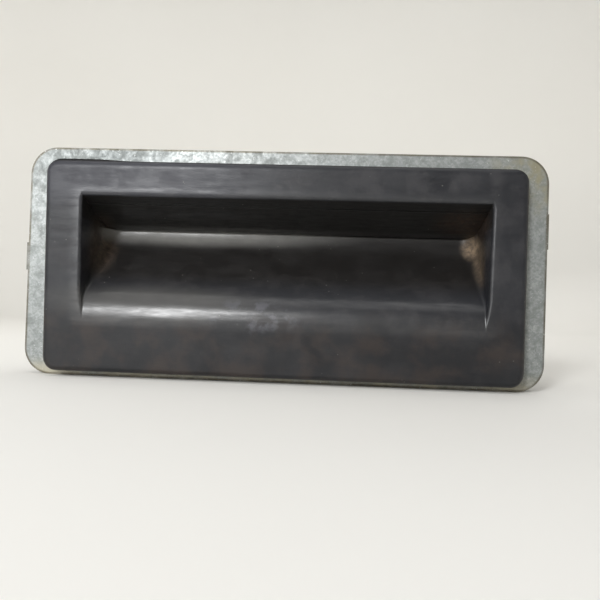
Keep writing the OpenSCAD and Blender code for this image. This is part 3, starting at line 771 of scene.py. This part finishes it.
def skin_look():
    """Worn black rubber: polished in the cup, smudged outside, with brown dust, streaks and scratches, and painted
    light: shade on the lower face, deep in the cup, on its upper wall and along the bezel's top, sheen on the upper
    left and the roll-over, a highlight under the crease and a floor reflection along the bottom rounding.
    """
    k = Look("skin_rubber_look", Specular_IOR_Level=0.32, Coat_Roughness=0.24)
    clouds = k.noise(14 * MM, 4.0, 0.6)
    smudge = k.ramp(k.noise(6 * MM, 5.0, 0.65), 0.44, 0.66)
    base = k.mix(clouds, rgb(0.0105, 0.011, 0.0135), rgb(0.0185, 0.0195, 0.0235))
    base = k.mix(k.math("MULTIPLY", smudge, 0.4), base, rgb(0.042, 0.04, 0.043))
    # Darker towards the bottom: painted shade on the lower face. The same mask places the brown dust below.
    low = k.ramp(k.axis("Z"), -8 * MM, -18 * MM)
    base = k.mix(k.math("MULTIPLY", low, 0.5), base, rgb(0.0045, 0.0045, 0.005))
    brown = k.math("MULTIPLY", low, k.ramp(k.noise(8 * MM, 5.0, 0.6), 0.42, 0.66, 0.0, 0.75))
    base = k.mix(brown, base, rgb(0.03, 0.022, 0.019))
    # Lighter and bluer towards the top left: painted sheen of the window light from the upper left.
    high = k.math("MULTIPLY", k.ramp(k.axis("Z"), 10 * MM, 18 * MM), k.ramp(k.axis("X"), 10 * MM, -30 * MM))
    base = k.mix(k.math("MULTIPLY", high, 0.7), base, rgb(0.038, 0.039, 0.049))
    # Darker and warmer deep in the cup: painted shade in the recess.
    inside = k.ramp(k.axis("Y"), FACE_Y + 3 * MM, FACE_Y + 8 * MM)
    base = k.mix(k.math("MULTIPLY", inside, 0.85), base, rgb(0.01, 0.0086, 0.0075))
    # Near black on the cup's upper wall above the crease: painted shade under the lip. The same mask also roughens the
    # wall and takes the polish off.
    shaded_roof = k.math("MULTIPLY", k.ramp(k.axis("Z"), 9.6 * MM, 10.6 * MM), k.ramp(k.axis("Y"), FACE_Y + 0.3 * MM, FACE_Y + 1 * MM))
    base = k.mix(k.math("MULTIPLY", shaded_roof, 0.95), base, rgb(0.006, 0.0052, 0.0046))
    grit = k.ramp(k.noise(1.1 * MM, 4.0, 0.7), 0.35, 0.7, 0.4, 1.0)
    right = k.near((47.4 * MM, 8.6 * MM, 6.6 * MM), (3.4 * MM, 8 * MM, 4.6 * MM))
    trail = k.near((48.6 * MM, 5 * MM, 0 * MM), (2.2 * MM, 8 * MM, 10 * MM))
    dusty = k.math("MULTIPLY", k.math("MAXIMUM", right, k.math("MULTIPLY", trail, 0.55)), grit)
    base = k.mix(dusty, base, rgb(0.2, 0.145, 0.095))
    rust = k.near((45 * MM, 2 * MM, 12 * MM), (11 * MM, 9 * MM, 6 * MM))
    base = k.mix(k.math("MULTIPLY", rust, k.ramp(grit, 0.4, 1.0, 0.2, 0.7)), base, rgb(0.04, 0.021, 0.012))
    left = k.near((-46.5 * MM, 4 * MM, 4 * MM), (4.5 * MM, 9 * MM, 11 * MM))
    base = k.mix(k.math("MULTIPLY", left, k.math("MULTIPLY", grit, 0.6)), base, rgb(0.12, 0.088, 0.065))
    # Lighter patch over the lower left of the roll-over: wear, and painted sheen where the window light reflects.
    wear_and_sheen = k.near((-30 * MM, FACE_Y + 1 * MM, -9.5 * MM), (34 * MM, 8 * MM, 6.5 * MM))
    base = k.mix(k.math("MULTIPLY", wear_and_sheen, 0.6), base, rgb(0.075, 0.073, 0.068))
    # Pale band just under the crease, broken up by noise: a painted highlight along the crease.
    crease_highlight = k.near((-24 * MM, CREASE_Y - 1.5 * MM, 8.6 * MM), (50 * MM, 7 * MM, 4.2 * MM))
    crease_highlight = k.math("MULTIPLY", crease_highlight, k.ramp(k.noise(5 * MM, 4.0), 0.25, 0.7, 0.75, 1.0))
    crease_highlight = k.math("MULTIPLY", crease_highlight, k.ramp(k.axis("Z"), CREASE_Z + 0.2 * MM, CREASE_Z - 0.1 * MM))
    base = k.mix(k.math("MULTIPLY", crease_highlight, 0.85), base, rgb(0.17, 0.166, 0.155))
    haze = k.near((-6 * MM, FACE_Y, -12 * MM), (16 * MM, 6 * MM, 5.5 * MM))
    haze = k.math("MULTIPLY", haze, k.ramp(k.noise(4.5 * MM, 5.0, 0.6), 0.45, 0.62))
    base = k.mix(k.math("MULTIPLY", haze, 0.7), base, rgb(0.085, 0.085, 0.1))
    # Olive-grey on the bezel's turned-away sides and bottom rounding: dust on the sides, and a painted floor
    # reflection along the bottom rounding.
    flank = k.math("MAXIMUM", k.ramp(k.math("ABSOLUTE", k.axis("X")), 53 * MM, 54.5 * MM),
        k.ramp(k.axis("Z"), -22 * MM, -23.5 * MM))
    flank = k.math("MULTIPLY", flank, k.ramp(k.axis("Z"), 23 * MM, 21 * MM))
    turned_away = k.math("MULTIPLY", flank, k.ramp(k.axis("Y"), FACE_Y + 0.15 * MM, FACE_Y + 1.3 * MM))
    flank_dust_and_reflection = k.math("MULTIPLY", turned_away, k.ramp(k.noise(5 * MM, 4.0), 0.3, 0.7, 0.55, 1.0))
    base = k.mix(flank_dust_and_reflection, base, rgb(0.085, 0.08, 0.062))
    # Near black on the top side of the bezel's rounding: painted shade along the top edge.
    shaded_top_edge = k.math("MULTIPLY", k.ramp(k.axis("Z"), 22.4 * MM, 23 * MM), k.ramp(k.axis("Y"), FACE_Y + 0.7 * MM, FACE_Y + 1.5 * MM))
    base = k.mix(k.math("MULTIPLY", shaded_top_edge, 0.9), base, rgb(0.003, 0.003, 0.003))
    speck = k.ramp(k.cells(2.2 * MM, "Distance"), 0.09, 0.05)
    speck = k.math("MULTIPLY", speck, k.ramp(k.noise(11 * MM), 0.48, 0.58))
    base = k.mix(k.math("MULTIPLY", speck, 0.6), base, rgb(0.14, 0.135, 0.125))
    streaks = k.noise(1.0 * MM, 5.0, 0.7, stretch=(0.16, 1.0, 1.0))
    rough = k.ramp(k.math("ADD", clouds, k.math("MULTIPLY", smudge, 0.3)), 0.3, 0.9, 0.38, 0.56)
    rough = k.math("ADD", rough, k.ramp(streaks, 0.35, 0.7, -0.07, 0.1))
    rough = k.math("ADD", rough, k.math("MULTIPLY", dusty, 0.3))
    rough = k.math("ADD", rough, k.math("MULTIPLY", shaded_roof, 0.2))
    rough = k.math("ADD", rough, k.math("MULTIPLY", shaded_top_edge, 0.35))
    across = k.ramp(k.math("ABSOLUTE", k.axis("X")), 52 * MM, 47 * MM)
    mouth = k.math("MULTIPLY", k.ramp(k.axis("Z"), -16.5 * MM, -14 * MM), k.ramp(k.axis("Z"), 18.5 * MM, 16 * MM))
    polish = k.math("MULTIPLY", k.math("MULTIPLY", across, mouth), k.ramp(streaks, 0.3, 0.62, 1.0, 0.45))
    polish = k.math("MULTIPLY", polish, k.math("SUBTRACT", 1.0, dusty))
    polish = k.math("MULTIPLY", polish, k.ramp(shaded_roof, 0.0, 1.0, 1.0, 0.1))
    coat = k.math("MAXIMUM", polish, k.ramp(clouds, 0.35, 0.7, 0.0, 0.14))
    coat = k.math("MULTIPLY", coat, k.math("SUBTRACT", 1.0, shaded_top_edge))
    grain = k.noise(0.28 * MM, 2.0, 0.6)
    waves = k.noise(7 * MM, 2.0, 0.5)
    scratch = k.ramp(k.noise(0.35 * MM, 4.0, 0.75, stretch=(0.03, 1.0, 1.0)), 0.62, 0.7)
    normal = k.bump(waves, 0.3, 0.2 * MM)
    normal = k.bump(grain, 0.2, 0.03 * MM, normal)
    normal = k.bump(scratch, 0.15, 0.03 * MM, normal)
    return k.set(Base_Color=base, Roughness=rough, Normal=normal, Coat_Weight=coat, Coat_Normal=normal)


def galvanised_look():
    """Galvanised sheet: small spangle, dull oxide patches, yellowed corner and white flecks, and an olive painted
    shade and floor reflection on the bottom margin.
    """
    k = Look("galvanised_look", Metallic=0.6)
    warp = k.add("VectorMath", "Vector", {"operation": "ADD"}, i0=k.place,
        i1=k.add("VectorMath", "Vector", {"operation": "SCALE"},
            i0=k.add("TexNoise", "Color", Vector=k.place, Scale=900.0), Scale=0.7 * MM))
    spangle = k.cells(0.45 * MM, "Color", place=warp)
    shade = k.ramp(k.add("SeparateColor", "Red", Color=spangle), 0.0, 1.0)
    base = k.mix(shade, rgb(0.235, 0.25, 0.248), rgb(0.315, 0.33, 0.325))
    dull = k.ramp(k.noise(2.2 * MM, 5.0, 0.72), 0.4, 0.66)
    base = k.mix(k.math("MULTIPLY", dull, 0.65), base, rgb(0.17, 0.183, 0.176))
    corner = k.near((61 * MM, 0.0, 24 * MM), (16 * MM, 9 * MM, 13 * MM))
    base = k.mix(k.math("MULTIPLY", corner, k.ramp(k.noise(3 * MM, 4.0), 0.4, 0.65, 0.2, 0.85)), base,
        rgb(0.27, 0.25, 0.165))
    stain = k.near((-46 * MM, 0.0, 24 * MM), (30 * MM, 9 * MM, 9 * MM))
    stain = k.math("MULTIPLY", stain, k.ramp(k.noise(2.6 * MM, 5.0, 0.7), 0.38, 0.6, 0.25, 1.0))
    base = k.mix(k.math("MULTIPLY", stain, 0.8), base, rgb(0.12, 0.13, 0.128))
    # Olive-brown on the plate's bottom margin: painted shade under the bezel and a painted floor reflection.
    rim = k.ramp(k.axis("Z"), -23 * MM, -28 * MM)
    base = k.mix(k.math("MULTIPLY", rim, k.ramp(k.noise(5 * MM, 4.0), 0.35, 0.65, 0.25, 0.8)), base,
        rgb(0.4, 0.365, 0.27))
    edge = k.outline_distance(PLATE_HALF_X - PLATE_CORNER, plate_hi.z - PLATE_CORNER)
    edge = k.ramp(edge, PLATE_CORNER - 0.65 * MM, PLATE_CORNER - 0.25 * MM)
    edge = k.math("MULTIPLY", edge, k.ramp(k.noise(4 * MM, 4.0), 0.3, 0.6, 0.45, 0.9))
    base = k.mix(edge, base, rgb(0.1, 0.088, 0.062))
    fleck = k.ramp(k.noise(0.8 * MM, 3.0, 0.7), 0.64, 0.7)
    base = k.mix(k.math("MULTIPLY", fleck, 0.6), base, rgb(0.6, 0.61, 0.6))
    pits = k.ramp(k.noise(0.6 * MM, 4.0, 0.7), 0.36, 0.28)
    base = k.mix(k.math("MULTIPLY", pits, 0.6), base, rgb(0.12, 0.11, 0.09))
    rough = k.math("ADD", k.ramp(shade, 0.0, 1.0, 0.47, 0.42), k.math("MULTIPLY", dull, 0.14))
    scratch = k.ramp(k.noise(0.3 * MM, 3.0, 0.7, stretch=(0.05, 1.0, 0.6)), 0.6, 0.72)
    normal = k.bump(shade, 0.1, 0.05 * MM)
    normal = k.bump(k.noise(1.3 * MM, 4.0), 0.12, 0.06 * MM, normal)
    normal = k.bump(scratch, 0.2, 0.03 * MM, normal)
    return k.set(Base_Color=base, Roughness=rough, Normal=normal)


def plated_look(name, low, high, rough_low, rough_high, size=0.8 * MM):
    """Plated or ground steel: tone and gloss vary with handling, with fine marks."""
    k = Look(name, Metallic=0.95)
    patchy = k.noise(size * 3, 4.0, 0.6)
    base = k.mix(patchy, low, high)
    stain = k.ramp(k.noise(size, 5.0, 0.7), 0.56, 0.7)
    base = k.mix(k.math("MULTIPLY", stain, 0.4), base, rgb(0.3, 0.27, 0.22))
    rough = k.ramp(patchy, 0.3, 0.7, rough_low, rough_high)
    marks = k.noise(size * 0.25, 3.0, 0.7)
    return k.set(Base_Color=base, Roughness=rough, Normal=k.bump(marks, 0.2, 0.02 * MM))


def plastic_look(name, low, high, rough_low, rough_high, grain, depth):
    """Moulded plastic: fine grain, slight flow marks and dust in the pores."""
    k = Look(name, Specular_IOR_Level=0.45)
    flow = k.noise(9 * MM, 4.0, 0.6, stretch=(0.5, 1.0, 1.0))
    base = k.mix(flow, low, high)
    dust = k.ramp(k.noise(2.5 * MM, 5.0, 0.7), 0.55, 0.75)
    base = k.mix(k.math("MULTIPLY", dust, 0.25), base, rgb(0.16, 0.15, 0.135))
    rough = k.ramp(flow, 0.3, 0.7, rough_low, rough_high)
    pores = k.cells(grain, "Distance")
    fine = k.noise(grain * 0.6, 2.0)
    normal = k.bump(pores, 0.35, depth)
    return k.set(Base_Color=base, Roughness=rough, Normal=k.bump(fine, 0.2, depth, normal))


def foam_look():
    """Closed-cell foam: open pores on the cut faces, painted darker as shade in the cells, dusty."""
    k = Look("foam_look", Specular_IOR_Level=0.3)
    pores = k.cells(0.45 * MM, "Distance")
    # The pores are painted darker: painted shade in the open cells.
    shaded_pores = k.ramp(pores, 0.15, 0.5)
    base = k.mix(shaded_pores, rgb(0.012, 0.012, 0.013), rgb(0.05, 0.05, 0.052))
    dust = k.ramp(k.noise(3 * MM, 4.0, 0.6), 0.5, 0.75)
    base = k.mix(k.math("MULTIPLY", dust, 0.4), base, rgb(0.14, 0.13, 0.12))
    rough = k.ramp(shaded_pores, 0.0, 1.0, 0.75, 0.95)
    normal = k.bump(shaded_pores, 0.8, 0.15 * MM)
    return k.set(Base_Color=base, Roughness=rough, Normal=k.bump(k.noise(1.5 * MM), 0.3, 0.2 * MM, normal))


def soft_look(name, low, high, rough):
    """Plain rubber or silicone: matt, with a bloom and a fine texture."""
    k = Look(name, Specular_IOR_Level=0.4)
    bloom = k.noise(4 * MM, 5.0, 0.65)
    base = k.mix(bloom, low, high)
    shine = k.ramp(bloom, 0.3, 0.7, rough - 0.06, rough + 0.1)
    return k.set(Base_Color=base, Roughness=shine, Normal=k.bump(k.noise(0.4 * MM, 3.0), 0.3, 0.05 * MM))


def wall_look():
    """Pale painted floor and wall with a faint unevenness."""
    k = Look("pale_floor_look", Specular_IOR_Level=0.2)
    tone = k.noise(0.18, 3.0, 0.5)
    base = k.mix(tone, rgb(0.80, 0.785, 0.75), rgb(0.84, 0.83, 0.80))
    rough = k.ramp(tone, 0.3, 0.7, 0.75, 0.85)
    return k.set(Base_Color=base, Roughness=rough, Normal=k.bump(k.noise(2 * MM, 3.0), 0.1, 0.05 * MM))


def make_looks():
    zinc = (rgb(0.52, 0.53, 0.52), rgb(0.68, 0.69, 0.68))
    steel = (rgb(0.5, 0.5, 0.51), rgb(0.66, 0.66, 0.67))
    dark = (rgb(0.02, 0.02, 0.021), rgb(0.035, 0.035, 0.037))
    red = (rgb(0.24, 0.03, 0.025), rgb(0.36, 0.05, 0.04))
    return {
        "galvanised": galvanised_look(),
        "zinc": plated_look("zinc_look", *zinc, 0.3, 0.46),
        "foam": foam_look(),
        "seal_rubber": soft_look("seal_rubber_look", rgb(0.012, 0.012, 0.012), rgb(0.024, 0.023, 0.022), 0.6),
        "skin_rubber": skin_look(),
        "shell_plastic": plastic_look("shell_plastic_look", *dark, 0.5, 0.62, 0.7 * MM, 0.04 * MM),
        "flap_plastic": plastic_look("flap_plastic_look", *dark, 0.45, 0.6, 0.6 * MM, 0.04 * MM),
        "steel_pin": plated_look("steel_pin_look", *steel, 0.2, 0.34, 0.5 * MM),
        "spring_steel": plated_look("spring_steel_look", *steel, 0.25, 0.4, 0.3 * MM),
        "switch_black": plastic_look("switch_black_look", *dark, 0.4, 0.55, 0.3 * MM, 0.02 * MM),
        "switch_red": plastic_look("switch_red_look", *red, 0.35, 0.5, 0.3 * MM, 0.015 * MM),
        "lever_steel": plated_look("lever_steel_look", *steel, 0.25, 0.36, 0.4 * MM),
        "contact_brass": plated_look("contact_brass_look", rgb(0.62, 0.46, 0.2), rgb(0.75, 0.6, 0.32),
            0.25, 0.4, 0.4 * MM),
        "lead_red": soft_look("lead_red_look", rgb(0.3, 0.02, 0.016), rgb(0.4, 0.035, 0.025), 0.42),
        "connector_black": plastic_look("connector_black_look", *dark, 0.36, 0.5, 0.35 * MM, 0.02 * MM),
        "seal_silicone": soft_look("seal_silicone_look", rgb(0.34, 0.09, 0.045), rgb(0.45, 0.13, 0.07), 0.45),
        "cover_plastic": plastic_look("cover_plastic_look", *dark, 0.5, 0.64, 0.8 * MM, 0.05 * MM),
    }


# ---- Put the object together ----


def give(made, look, body, slot, *nodes):
    """Gives a piece its material and body, and hides the CAD nodes it stands for."""
    made.data.materials.clear()
    made.data.materials.append(look)
    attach(made, body)
    if nodes:
        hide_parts(*nodes)


def build_object():
    looks = make_looks()
    record = frame["record"]
    slots = {part["node"]: part["material_slot"] for part in record["subparts"]}
    bevels = {"carrier_plate": 0.28, "rear_cover": 0.7, "connector_socket": 0.3, "cup_shell": 0.3,
        "release_flap": 0.25, "bezel_seal": 0.15, "cover_gasket": 0.2, "connector_seal": 0.2,
        "flap_bumpers": 0.35, "switch_case": 0.15, "switch_base": 0.15, "lever_pin": 0.06,
        "switch_lever": 0.05, "switch_terminals": 0.06, "connector_pins": 0.1, "flap_pivot_pin": 0.2,
        "switch_plunger": 0.08, "switch_screws": 0.1}
    for name, node in frame["nodes"].items():
        look = looks[slots[name]]
        for i in range(len(node.data.materials)):
            node.data.materials[i] = look
        if not node.data.materials:
            node.data.materials.append(look)
        if name in bevels:
            soften(node, bevels[name] * MM, 3 if bevels[name] > 0.2 else 2, weld=True)
    give(build_skin(), looks["skin_rubber"], "root", "skin_rubber", "rubber_skin")
    give(build_press_pad(), looks["skin_rubber"], "flap", "skin_rubber", "flap_pad")
    for stud in build_studs():
        give(stud, looks["zinc"], "root", "zinc", "weld_studs")
    for rivet in build_rivets():
        give(rivet, looks["zinc"], "root", "zinc", "shell_rivets")
    for node, screws in build_screws().items():
        for made in screws:
            give(made, looks["zinc"], "root", "zinc", node)
    for spring, seat in build_springs():
        give(spring, looks["spring_steel"], "root", "spring_steel", "flap_springs")
        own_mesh(spring)
    foam = build_foam()
    give(foam, looks["foam"], "root", "foam", "plate_gasket")


# ---- Stage, light and camera ----


def build_stage():
    """Pale floor that curves up into a round wall, all one surface."""
    floor_z = plate_lo.z
    flat, bend, high = 0.5, 0.25, 0.62
    profile = [(0.0005, 0.0), (0.1, 0.0), (0.3, 0.0), (flat, 0.0)]
    profile += [(flat + bend * math.sin(a), bend * (1 - math.cos(a))) for a in np.linspace(0, math.pi / 2, 13)[1:]]
    profile += [(flat + bend, high)]
    bm = bmesh.new()
    sides = 96
    rings = []
    for r, z in profile:
        rings.append([bm.verts.new((r * math.cos(2 * math.pi * k / sides), r * math.sin(2 * math.pi * k / sides),
            floor_z + z)) for k in range(sides)])
    bm.faces.new(rings[0])
    for a, b in zip(rings, rings[1:]):
        for k in range(sides):
            bm.faces.new((a[k], a[(k + 1) % sides], b[(k + 1) % sides], b[k]))
    mesh = bpy.data.meshes.new("pale_floor")
    bm.to_mesh(mesh)
    bm.free()
    mesh.shade_smooth()
    floor = bpy.data.objects.new("pale_floor", mesh)
    bpy.context.scene.collection.objects.link(floor)
    floor.data.materials.append(wall_look())


def away(azimuth, elevation, distance):
    """Point that far from the origin. Azimuth 0 is in front of the object and grows to its right."""
    a, e = math.radians(azimuth), math.radians(elevation)
    return Vector((math.sin(a) * math.cos(e), -math.cos(a) * math.cos(e), math.sin(e))) * distance


def area_light(name, place, aim, size, radiance, colour):
    """Rectangular light at a place, facing the point it aims at."""
    lamp = bpy.data.lights.new(name, "AREA")
    lamp.shape = "RECTANGLE"
    lamp.size, lamp.size_y = size
    lamp.energy = radiance * math.pi * size[0] * size[1]
    lamp.color = colour
    made = bpy.data.objects.new(name, lamp)
    bpy.context.scene.collection.objects.link(made)
    made.location = place
    made.rotation_mode = "QUATERNION"
    made.rotation_quaternion = (place - aim).to_track_quat("Z", "Y")
    made.visible_camera = False
    return made


def build_lights():
    centre = Vector((0, 0, 0))
    area_light("window", away(-19.5, 23.5, 0.55), centre, (0.085, 0.19), 42, (0.98, 0.99, 1.0))
    area_light("left_fill", away(-37, 15, 0.6), centre, (0.35, 0.36), 2.4, (0.96, 0.98, 1.0))
    area_light("ceiling", away(0, 80, 0.6), centre, (0.5, 0.5), 1.2, (1.0, 0.99, 0.97))
    area_light("backdrop", Vector((0, 0.1, 0.45)), Vector((-0.35, 0.7, 0.15)), (0.6, 0.3), 2.6, (1.0, 0.99, 0.95))
    area_light("rear_fill", away(165, 30, 0.6), centre, (0.4, 0.4), 0.8, (1.0, 1.0, 1.0))
    world = bpy.data.worlds.new("pale_room")
    bpy.context.scene.world = world
    world.use_nodes = True
    sky = world.node_tree.nodes["Background"]
    sky.inputs["Color"].default_value = (0.97, 0.96, 0.94, 1)
    sky.inputs["Strength"].default_value = 0.16


def build_camera():
    """Camera at the place and angle the photograph was taken from."""
    lens = bpy.data.cameras.new("camera")
    lens.lens, lens.sensor_width = 36, 36
    lens.clip_start = 0.01
    camera = bpy.data.objects.new("camera", lens)
    bpy.context.scene.collection.objects.link(camera)
    place = Vector((12.34, -146.32, -9.73)) * MM
    ahead = Vector((-0.0524, 0.9985, 0.0130)).normalized()
    up = Vector((-0.0323, -0.0147, 0.9994))
    right = ahead.cross(up).normalized()
    up = right.cross(ahead)
    turn = Matrix((right, up, -ahead)).transposed()
    camera.matrix_world = Matrix.Translation(place) @ turn.to_4x4()
    bpy.context.scene.camera = camera


build_object()
build_stage()
build_lights()
build_camera()
bpy.context.scene.view_settings.view_transform = "Standard"

import json
